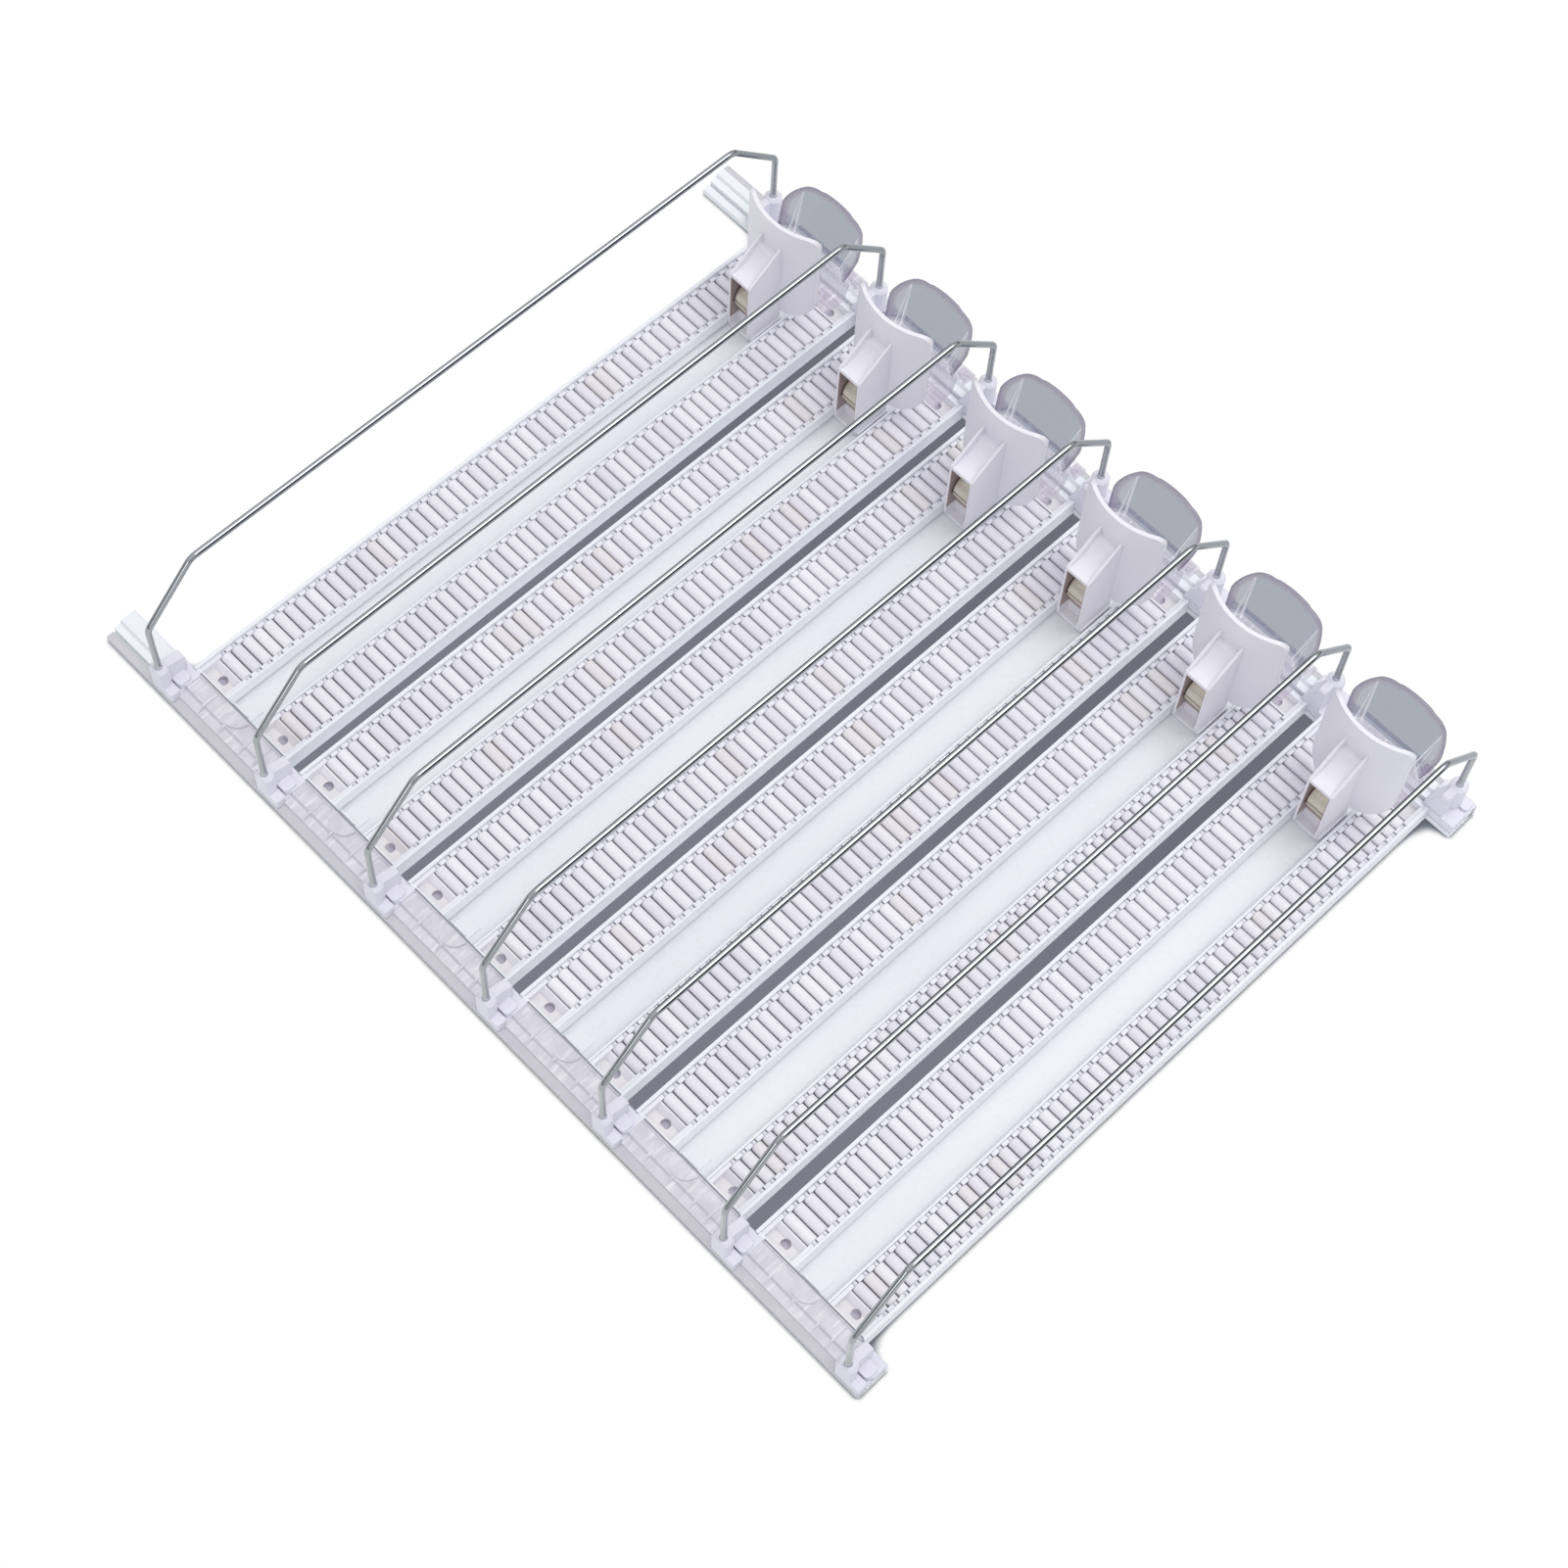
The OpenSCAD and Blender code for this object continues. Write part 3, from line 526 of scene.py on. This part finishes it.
dress(("tray_",), tray_finish())
dress(("rear_rail", "front_rail"), rail_finish())
dress(("rear_bracket", "front_bracket"),
      moulded("bracket_plastic", rgb(234, 232, 242), rgb(228, 226, 237), edge=0.0004))
dress(("pusher_",), pusher_finish())
dress(("roller_strips_",), roller_finish())
dress(("rear_cap_",), cap_finish())
for name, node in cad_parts.items():
    if name.startswith("rear_cap_"):
        let_light_through(node)


def add_mesh(name, points, faces, finish):
    """A new object of points and faces, in the scene."""
    mesh = bpy.data.meshes.new(name)
    mesh.from_pydata(points, [], faces)
    mesh.materials.append(finish.material)
    piece = bpy.data.objects.new(name, mesh)
    bpy.context.scene.collection.objects.link(piece)
    return piece


def set_smooth(piece, smooth):
    """Shades every face of a piece smooth, or flat."""
    faces = piece.data.polygons
    faces.foreach_set("use_smooth", np.full(len(faces), smooth))


def surface(name, grid, finish, wrap=False, uv=None, uv_name="length"):
    """A mesh from a grid of points, rows by columns: one quad between each four
    neighbours. wrap joins the last column to the first. uv gives each point's map."""
    rows, columns = grid.shape[:2]
    joins = columns if wrap else columns - 1
    row, column = np.meshgrid(np.arange(rows - 1), np.arange(joins), indexing="ij")
    after = (column + 1) % columns
    quads = np.stack([row * columns + column, row * columns + after,
                      (row + 1) * columns + after, (row + 1) * columns + column], axis=-1)
    piece = add_mesh(name, grid.reshape(-1, 3).tolist(), quads.reshape(-1, 4).tolist(), finish)
    if uv is not None:
        corners = np.stack([uv[row, column], uv[row, column + 1], uv[row + 1, column + 1],
                            uv[row + 1, column]], axis=2)
        layer = piece.data.uv_layers.new(name=uv_name)
        layer.data.foreach_set("uv", corners.reshape(-1).astype(np.float32))
    set_smooth(piece, True)
    return piece


def tube(name, path, radius, side, finish, sides=20):
    """A round tube: at each point of the path, a circle of the given radius across the
    path's direction. The radius falls to nothing over a last short row at both ends, so
    the tube is closed. side is a direction that the path never runs along."""
    path = np.concatenate([path[:1], path, path[-1:]])
    radius = np.broadcast_to(radius, len(path) - 2)
    radius = np.concatenate([[1e-7], radius, [1e-7]])
    run = np.gradient(path[1:-1], axis=0)
    run = np.concatenate([run[:1], run, run[-1:]])
    run /= np.linalg.norm(run, axis=1, keepdims=True)
    first = side - (run @ side)[:, None] * run
    first /= np.linalg.norm(first, axis=1, keepdims=True)
    second = np.cross(run, first)
    turn = np.linspace(0, 2 * np.pi, sides, endpoint=False)
    ring = (np.cos(turn)[None, :, None] * first[:, None]
            + np.sin(turn)[None, :, None] * second[:, None])
    grid = path[:, None] + radius[:, None, None] * ring
    length = np.concatenate([[0], np.cumsum(np.linalg.norm(np.diff(path, axis=0), axis=1))])
    round_share = np.linspace(0, 2 * np.pi, sides + 1) * radius.max()
    uv = np.stack(np.broadcast_arrays(round_share[None, :], length[:, None]), axis=-1)
    return surface(name, grid, finish, wrap=True, uv=uv)


def arc(centre, radius, start, end, count=9):
    """Points on a circle in a plane, from one angle to another."""
    angle = np.radians(np.linspace(start, end, count))
    return np.stack([centre[0] + radius * np.cos(angle),
                     centre[1] + radius * np.sin(angle)], axis=1)


def divider_path():
    """The divider's middle line in its own plane, Y and Z: a leg, a bend of 45 degrees, a
    slant, another such bend and the long run, then the same in reverse."""
    back = WIRE_BEND_R * np.tan(np.radians(22.5))
    slant_z = WIRE_TOP - WIRE_SLANT
    ends = []
    for leg, socket, inward in ((FRONT_LEG, FRONT_SOCKET, 1), (REAR_LEG, REAR_SOCKET, -1)):
        foot = np.array([[leg, socket - WIRE_SINK], [leg, socket - FOOT_LAST],
                         [leg, socket - FOOT_NEXT], [leg, slant_z - back - LEG_END]])
        lower = arc((leg + WIRE_BEND_R, slant_z - back), WIRE_BEND_R, 180, 135)
        upper = arc((leg + WIRE_SLANT + back, WIRE_TOP - WIRE_BEND_R), WIRE_BEND_R, 135, 90)
        for bend in (lower, upper):
            bend[:, 0] = leg + inward * (bend[:, 0] - leg)
        ends.append(np.concatenate([foot, lower, upper]))
    return np.concatenate([ends[0], ends[1][::-1]])


def make_dividers():
    """The bent wires: a round tube along the divider's path at every leg. Its feet fill
    their sockets."""
    finish = wire_finish()
    flat = divider_path()
    spaced = [flat[:1]]
    for a, b in zip(flat[:-1], flat[1:]):
        steps = max(1, int(np.linalg.norm(b - a) / WIRE_STEP))
        spaced.append(a + (b - a) * np.linspace(0, 1, steps + 1)[1:, None])
    flat = np.concatenate(spaced)
    socket = np.where(flat[:, 0] < 0, FRONT_SOCKET, REAR_SOCKET)
    radius = np.where(flat[:, 1] < socket - FOOT_STEP, SOCKET_R, WIRE_R)
    for i in range(LANES + 1):
        path = np.column_stack([np.full(len(flat), LEG_FIRST + i * PITCH), flat])
        wire = tube(f"bent_wire_{i + 1}", path, radius, np.array([1.0, 0, 0]), finish)
        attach(wire, "root")
        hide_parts(f"wire_divider_{i + 1}")


def make_springs():
    """The wound strips: a thin flat ribbon whose radius grows evenly with its turns."""
    finish = strip_finish()
    half_t, half_w = STRIP_T / 2, COIL_W / 2
    step = (COIL_R - half_t - COIL_BORE_R) / COIL_TURNS
    turn = np.linspace(0, 2 * np.pi * COIL_TURNS, COIL_TURNS * COIL_POINTS + 1)
    radius = COIL_BORE_R + step * turn / (2 * np.pi)
    section = np.array([[half_t, -half_w], [half_t, half_w],
                        [-half_t, half_w], [-half_t, -half_w]])
    for i in range(LANES):
        centre_x = LANE_FIRST + i * PITCH
        reach = radius[:, None] + section[None, :, 0]
        grid = np.stack(np.broadcast_arrays(
            centre_x + section[None, :, 1],
            COIL_Y + reach * np.cos(turn)[:, None],
            COIL_Z + reach * np.sin(turn)[:, None]), axis=-1)
        first, last = (np.broadcast_to(end.mean(axis=0), (1, 4, 3)) for end in (grid[0], grid[-1]))
        closed = np.concatenate([first, grid, last])
        spring = surface(f"wound_strip_{i + 1}", closed, finish, wrap=True)
        set_smooth(spring, False)
        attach(spring, f"spring_{i + 1}")
        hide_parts(f"spring_{i + 1}")


def closed_loft(sheet):
    """The rows of a grid whose last column meets its first, as one closed shell: the
    coincident points of its pinched edges are merged and its faces point outwards."""
    shell = bmesh.new()
    shell.from_mesh(sheet.data)
    bmesh.ops.remove_doubles(shell, verts=shell.verts, dist=1e-6)
    bmesh.ops.recalc_face_normals(shell, faces=shell.faces)
    shell.to_mesh(sheet.data)
    shell.free()
    set_smooth(sheet, True)
    return sheet


def stop_top(x):
    """Height of the panel's outline at x: a crown of large radius between two corner
    arcs, which end where the sides start."""
    corner_x = STOP_HALF - STOP_CORNER_R
    crown = STOP_LEN - STOP_CROWN_R + np.sqrt(STOP_CROWN_R**2 - x**2)
    past = np.clip(np.abs(x) - corner_x, 0, STOP_CORNER_R)
    corner = STOP_CORNER_Z + np.sqrt(STOP_CORNER_R**2 - past**2)
    return np.where(np.abs(x) < corner_x, crown, np.minimum(crown, corner))


def taper(up):
    """How wide the panel is at a height, as a share: its sides lean in below the corners."""
    below = np.clip((STOP_CORNER_Z - up) / (STOP_CORNER_Z - STOP_ROOT), 0, 1)
    return 1 - STOP_TAPER * below ** 1.3


def panel_grid():
    """One stop panel round its own foot, and its map. A point's place across and up the
    outline gives the middle surface: flat between two creases that spread upwards, and
    folded back beyond them. Half the wall's thickness is added in front and taken off
    behind. It swells to a rounded bead along the rim and is nothing at the very edge."""
    side = np.concatenate([1 - RIM_STEPS / 1000 / STOP_HALF, np.linspace(0.78, 0.56, 15),
                           np.linspace(0.5, 0, 7)])
    across = np.concatenate([-side, side[-2::-1]])
    rise = np.concatenate([np.linspace(0, 0.8, 12), 1 - RIM_STEPS[::-1] / PANEL_HEIGHT])
    flat_x = across * STOP_HALF
    up = STOP_ROOT + rise[:, None] * (stop_top(flat_x)[None, :] - STOP_ROOT)
    x = flat_x[None, :] * taper(up)
    edge_up = np.linspace(STOP_ROOT, STOP_CORNER_Z, 60)
    edge_x = np.linspace(-STOP_HALF, STOP_HALF, 400)
    rim = np.concatenate([np.column_stack([-STOP_HALF * taper(edge_up), edge_up]),
                          np.column_stack([edge_x, stop_top(edge_x)]),
                          np.column_stack([STOP_HALF * taper(edge_up), edge_up])])
    gap = np.hypot(x[..., None] - rim[:, 0], up[..., None] - rim[:, 1]).min(axis=2)
    on_edge = (np.abs(across)[None, :] == 1) | (rise[:, None] == 1)
    inward = np.where(on_edge, 0, gap)
    bead = np.sqrt(np.clip(RIM_R**2 - np.clip(RIM_R - inward, 0, RIM_R)**2, 0, None))
    fade = np.clip((inward - RIM_R) / RIM_FADE, 0, 1)
    fade = fade * fade * (3 - 2 * fade)
    half = bead - (RIM_R - CLEAR_T / 2) * fade
    from_crease = np.abs(x) - CREASE_LOW - CREASE_FAN * up
    folded = from_crease + np.sqrt(from_crease**2 + CREASE_SOFT**2)
    depth = RETURN_SLOPE * folded / 2 - CLEAR_T / 2
    front = np.stack([x, depth + half, up], axis=-1)
    back = np.stack([x, depth - half, up], axis=-1)[:, ::-1]
    local = np.concatenate([front, back], axis=1)
    lean_sin, lean_cos = np.sin(STOP_LEAN), np.cos(STOP_LEAN)
    grid = np.stack([local[..., 0],
                     STOP_FOOT_Y + local[..., 1] * lean_cos - local[..., 2] * lean_sin,
                     STOP_FOOT_Z + local[..., 1] * lean_sin + local[..., 2] * lean_cos], axis=-1)
    seen = np.stack([from_crease, inward], axis=-1)
    seen = np.concatenate([seen, seen[:, ::-1], seen[:, :1]], axis=1)
    return grid, seen


def base_parts():
    """The outlines of a stop's base, each with where it starts and ends across the lane.
    An outline counts outwards from the trays' front end, and up, in millimetres: the slab
    that lies on the tray, climbs to the panel's foot and stands on the rail, a hair clear
    of both, then its steps and its ribs."""
    foot = 1000 * (FRONT_EDGE - STOP_FOOT_Y)
    slab = [(-11, 9.62), (-11, 10.6), (-10.7, 10.9), (-1.2, 10.9), (0.9, 15.6),
            (foot - 1.1, 22.2), (foot - 0.6, 22.7), (foot + 1.0, 22.7), (foot + 1.6, 22.1),
            (foot + 1.6, 20.1), (10.2, 8.9), (16.2, 8.9), (16.5, 8.6), (16.5, 7.62),
            (8.8, 7.62), (foot - 0.2, 18.9), (0.6, 9.62)]
    parts = [(slab, -BASE_HALF, BASE_HALF)]
    for count in (1, 2, 3):
        start = 2.4 * count - 11
        step = [(start, 10.7), (start, 11.5), (start + 0.2, 11.7), (start + 0.6, 11.7),
                (start + 0.8, 11.5), (start + 0.8, 10.7)]
        parts.append((step, -BASE_HALF, BASE_HALF))
    rib = [(foot + 1.0, 21.5), (14.5, 8.2), (9.5, 8.2)]
    for middle in np.linspace(-0.021, 0.021, 6):
        parts.append((rib, middle - CLEAR_T / 4, middle + CLEAR_T / 4))
    return parts


def make_stops():
    """The clear stops: a panel with a rounded rim on a ribbed base, one at each lane."""
    panel_look, base_look = panel_finish(), base_finish()
    panel_points, panel_map = panel_grid()
    points, faces = [], []
    for outline, x0, x1 in base_parts():
        ring = np.array(outline) / 1000
        count, first = len(ring), len(points)
        for x in (x0, x1):
            points += [(x, FRONT_EDGE - out, z) for out, z in ring]
        near = [first + k for k in range(count)]
        far = [first + count + k for k in range(count)]
        faces += list(zip(near, near[1:] + near[:1], far[1:] + far[:1], far))
        faces += [tuple(near[::-1]), tuple(far)]
    for i in range(LANES):
        shift = np.array([LANE_FIRST + i * PITCH, 0, 0])
        panel = closed_loft(surface(f"stop_panel_{i + 1}", panel_points + shift, panel_look,
                                    wrap=True, uv=panel_map, uv_name="rim_map"))
        base_points = (np.array(points) + shift).tolist()
        base = add_mesh(f"stop_base_{i + 1}", base_points, faces, base_look)
        for piece in (panel, base):
            let_light_through(piece)
            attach(piece, "root")
            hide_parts(f"front_stop_{i + 1}")


def make_camera():
    """The photograph's own camera, from its solved place and directions."""
    data = bpy.data.cameras.new("camera")
    data.sensor_width = SENSOR
    data.lens = PHOTO_FOCAL / PHOTO_SIDE * SENSOR
    data.clip_start, data.clip_end = 0.05, 20
    camera = bpy.data.objects.new("camera", data)
    look, right = Vector(CAMERA_LOOK).normalized(), Vector(CAMERA_RIGHT)
    right = (right - right.dot(look) * look).normalized()
    up = right.cross(look)
    turn = Matrix((right, up, -look)).transposed()
    camera.matrix_world = Matrix.Translation(CAMERA_AT) @ turn.to_4x4()
    bpy.context.scene.collection.objects.link(camera)
    bpy.context.scene.camera = camera


def make_floor():
    """A pale floor that shows as white and keeps the object's contact shadow: near the
    object by how far it is closed in, and between the trays as one even shade."""
    f = Finish("floor", Roughness=0.9)
    corners = [(FLOOR_HALF * x, FLOOR_HALF * y, 0) for x, y in ((-1, -1), (1, -1), (1, 1), (-1, 1))]
    floor = add_mesh("floor", corners, [(0, 1, 2, 3)], f)
    shade = f.node("ShaderNodeAmbientOcclusion", {"samples": 24}, Distance=SHADE_REACH)["AO"]
    touch = f.node("ShaderNodeAmbientOcclusion", {"samples": 6}, Distance=TOUCH_REACH)["AO"]
    deep = f.mix(f.clamp((shade - 0.28) / 0.14), rgb(92, 97, 109), rgb(120, 126, 139))
    grey = f.mix(f.clamp((shade - 0.46) / 0.06), deep, rgb(255, 255, 255))
    grey = f.mix(f.clamp((touch - 0.5) / 0.28), rgb(96, 98, 108), grey)
    in_gap = f.mix(f.clamp((f.y + 0.1) / 0.16), rgb(108, 111, 121), rgb(122, 125, 136))
    shadow = f.node("ShaderNodeEmission", Color=grey, Strength=1.0)["Emission"]
    gap = f.node("ShaderNodeEmission", Color=in_gap, Strength=1.0)["Emission"]
    pale = f.node("ShaderNodeBsdfDiffuse", Color=rgb(236, 238, 242))["BSDF"]
    white = f.node("ShaderNodeEmission", Color=rgb(255, 255, 255), Strength=1.0)["Emission"]
    away_x, away_y = f.math("ABSOLUTE", f.x), f.math("ABSOLUTE", f.y)
    near = (away_x < cad_box[1][0] + SHADE_REACH) * (away_y < cad_box[1][1] + SHADE_REACH)
    between_trays = (f.math("ABSOLUTE", f.x - ROW_MIDDLE) < ROW_HALF) * (away_y < TRAY_HALF)
    seen = f.mix_shader(between_trays, f.mix_shader(near, white, shadow), gap)
    path = f.node("ShaderNodeLightPath")
    mirrored = f.clamp(path["Is Glossy Ray"] + path["Is Transmission Ray"])
    unseen = f.mix_shader(mirrored, pale, white)
    f.feed(f.output.inputs["Surface"], f.mix_shader(path["Is Camera Ray"], unseen, seen))


def make_world():
    """A soft studio, bright above and dim below. The camera sees plain white instead."""
    world = bpy.data.worlds.new("studio")
    bpy.context.scene.world = world
    world.use_nodes = True
    nodes, links = world.node_tree.nodes, world.node_tree.links
    place = nodes.new("ShaderNodeTexCoord")
    split = nodes.new("ShaderNodeSeparateXYZ")
    ramp = nodes.new("ShaderNodeValToRGB")
    links.new(place.outputs["Generated"], split.inputs[0])
    links.new(split.outputs["Z"], ramp.inputs[0])
    ramp.color_ramp.elements[0].position = 0.0
    ramp.color_ramp.elements[0].color = (0.13, 0.14, 0.155, 1)
    ramp.color_ramp.elements[1].position = 0.72
    ramp.color_ramp.elements[1].color = (0.90, 0.905, 0.92, 1)
    middle = ramp.color_ramp.elements.new(0.34)
    middle.color = (0.52, 0.53, 0.55, 1)
    path = nodes.new("ShaderNodeLightPath")
    white = nodes.new("ShaderNodeBackground")
    mix = nodes.new("ShaderNodeMixShader")
    links.new(ramp.outputs[0], nodes["Background"].inputs["Color"])
    links.new(path.outputs["Is Camera Ray"], mix.inputs[0])
    links.new(nodes["Background"].outputs[0], mix.inputs[1])
    links.new(white.outputs[0], mix.inputs[2])
    links.new(mix.outputs[0], nodes["World Output"].inputs["Surface"])
    white.inputs["Color"].default_value = (1, 1, 1, 1)


def make_lamp(name, at, size, power):
    """A round lamp that points at the origin and that the camera doesn't see."""
    data = bpy.data.lights.new(name, "AREA")
    data.shape, data.size, data.energy = "DISK", size, power
    lamp = bpy.data.objects.new(name, data)
    lamp.location = at
    lamp.rotation_euler = (-Vector(at)).to_track_quat("-Z", "Y").to_euler()
    lamp.visible_camera = False
    bpy.context.scene.collection.objects.link(lamp)


make_dividers()
make_springs()
make_stops()
make_camera()
make_floor()
make_world()
make_lamp("key", (-0.5, -0.7, 1.9), 1.3, 12)
make_lamp("rear", (-0.7, 1.95, 0.85), 0.9, 4.4)

bpy.context.scene.view_settings.view_transform = "Standard"
